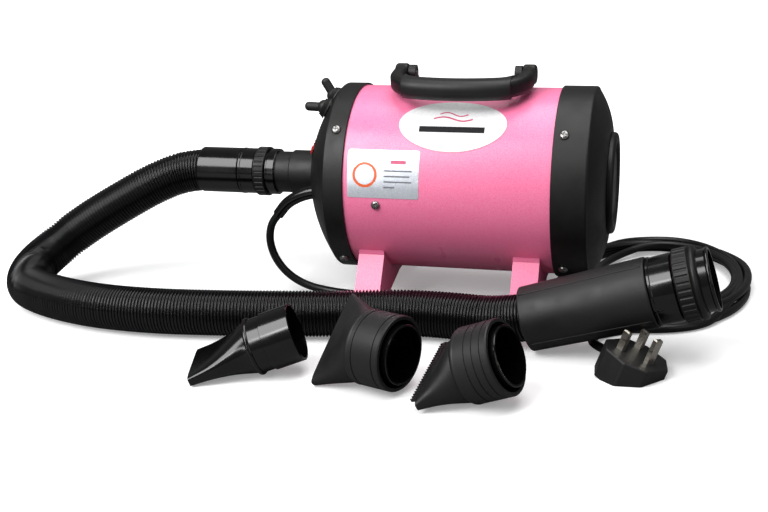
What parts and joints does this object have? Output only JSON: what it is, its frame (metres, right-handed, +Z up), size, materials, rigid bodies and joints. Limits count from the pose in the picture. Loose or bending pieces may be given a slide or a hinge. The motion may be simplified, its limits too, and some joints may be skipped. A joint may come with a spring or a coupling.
{
  "type": "pet dryer",
  "caption": "Cylindrical pet grooming dryer with folding handle, splayed legs, corrugated air hose with hand grip, loose nozzles and a coiled mains lead.",
  "frame": {"origin": "on the floor, under the middle of the dryer, its hose, grip and nozzles (the mains lead and plug left out)", "axes": "+Z up, X along the drum axis with the air outlet at -X, -Y the near side where the grip and nozzles lie"},
  "size_m": [0.7273, 0.4636, 0.2252],
  "materials": {
    "pink_powder_coat": "fine speckled powder coat",
    "black_metal": "matte black",
    "black_abs": "fine matte",
    "gloss_black": "glossy",
    "black_rubber": "matte",
    "hose_plastic": "satin",
    "steel": "bright",
    "dark_bolt": "blackened",
    "brass_pin": "satin",
    "badge": "printed white oval",
    "label": "silvery printed label",
    "red_switch": "glossy",
    "foam": "open-cell foam",
    "mica": "mica board",
    "resistance_wire": "wire",
    "board": "circuit board",
    "felt": "felt",
    "cable": "smooth flex"
  },
  "bodies": {
    "dryer": {"drum_shell": "pink_powder_coat", "outlet_cap": "black_abs", "intake_cap": "black_abs", "intake_grille": "black_abs", "outlet_end_leg": "pink_powder_coat", "intake_end_leg": "pink_powder_coat", "rubber_feet": "black_rubber", "leg_bolts": "dark_bolt", "cap_screws": "steel", "shell_screws": "steel", "handle_brackets": "black_abs", "bracket_screws": "steel", "handle_pivot_pins": "steel", "oval_badge": "badge", "info_label": "label", "toggle_collars": "black_rubber", "rocker_bezel": "black_abs", "motor_bulkhead": "black_metal", "motor_can": "steel", "stator_stack": "steel", "motor_mount_rings": "black_rubber", "fan_casing": "steel", "heater_frame": "mica", "heater_coil": "resistance_wire", "thermostat": "steel", "control_board": "board", "terminal_block": "mica", "acoustic_liner": "felt", "hose_cuff": "gloss_black", "coupling_body": "gloss_black", "coupling_collar": "gloss_black", "air_hose": "hose_plastic", "hose_grip": "black_rubber", "grip_adapter": "gloss_black", "grip_end_ring": "gloss_black", "cable_strain_relief": "gloss_black", "mains_lead": "cable", "mains_coil": "cable", "lead_tail": "cable", "plug_body": "black_rubber", "plug_pins": "brass_pin"},
    "handle": {"handle_bail": "black_abs", "handle_grip_cover": "black_rubber"},
    "near_toggle": {"toggle_boot_near": "black_rubber", "toggle_lever_near": "steel"},
    "far_toggle": {"toggle_boot_far": "black_rubber", "toggle_lever_far": "steel"},
    "rocker": {"rocker_button": "red_switch"},
    "fan_rotor": {"rotor_shaft": "steel", "impellers": "steel"},
    "intake_lid": {"intake_cover": "black_abs", "foam_filter": "foam"},
    "coupling_ring": {"coupling_lock_ring": "black_abs"},
    "grip_ring": {"grip_lock_ring": "black_abs"},
    "flat_tool": {"flat_nozzle": "gloss_black"},
    "fishtail_tool": {"fishtail_rubber": "black_rubber", "fishtail_sleeve": "gloss_black"},
    "comb_tool": {"comb_rubber": "black_rubber", "comb_sleeve": "gloss_black"}
  },
  "joints": [
    {"name": "handle_fold", "type": "hinge", "parent": "dryer", "child": "handle", "pos_m": [0.0156, 0.0908, 0.216], "axis": [-1, 0, 0], "range_deg": [0, 166]},
    {"name": "near_toggle_lever", "type": "hinge", "parent": "dryer", "child": "near_toggle", "pos_m": [-0.11558, 0.06316, 0.18701], "axis": [0, -0.9336, -0.3584], "range_deg": [-55, 0]},
    {"name": "far_toggle_lever", "type": "hinge", "parent": "dryer", "child": "far_toggle", "pos_m": [-0.11558, 0.09484, 0.19203], "axis": [0, -0.9986, 0.0523], "range_deg": [0, 55]},
    {"name": "rocker_press", "type": "hinge", "parent": "dryer", "child": "rocker", "pos_m": [-0.12314, 0.05522, 0.14761], "axis": [0, 0.6756, 0.7373], "range_deg": [-14, 0]},
    {"name": "fan_spin", "type": "hinge", "parent": "dryer", "child": "fan_rotor", "pos_m": [0.0116, 0.0908, 0.115], "axis": [1, 0, 0], "continuous": true},
    {"name": "intake_lid_pull", "type": "slide", "parent": "dryer", "child": "intake_lid", "axis": [1, 0, 0], "range_m": [0, 0.05]},
    {"name": "coupling_ring_turn", "type": "hinge", "parent": "dryer", "child": "coupling_ring", "pos_m": [-0.1902, 0.0908, 0.115], "axis": [-1, 0, 0], "range_deg": [0, 60]},
    {"name": "grip_ring_turn", "type": "hinge", "parent": "dryer", "child": "grip_ring", "pos_m": [0.22813, -0.04747, 0.06764], "axis": [0.9576, -0.0091, 0.2878], "range_deg": [0, 60]},
    {"name": "flat_tool_lift", "type": "slide", "parent": "dryer", "child": "flat_tool", "axis": [0, 0, 1], "range_m": [0, 0.15]},
    {"name": "fishtail_tool_lift", "type": "slide", "parent": "dryer", "child": "fishtail_tool", "axis": [0, 0, 1], "range_m": [0, 0.15]},
    {"name": "comb_tool_lift", "type": "slide", "parent": "dryer", "child": "comb_tool", "axis": [0, 0, 1], "range_m": [0, 0.15]}
  ]
}
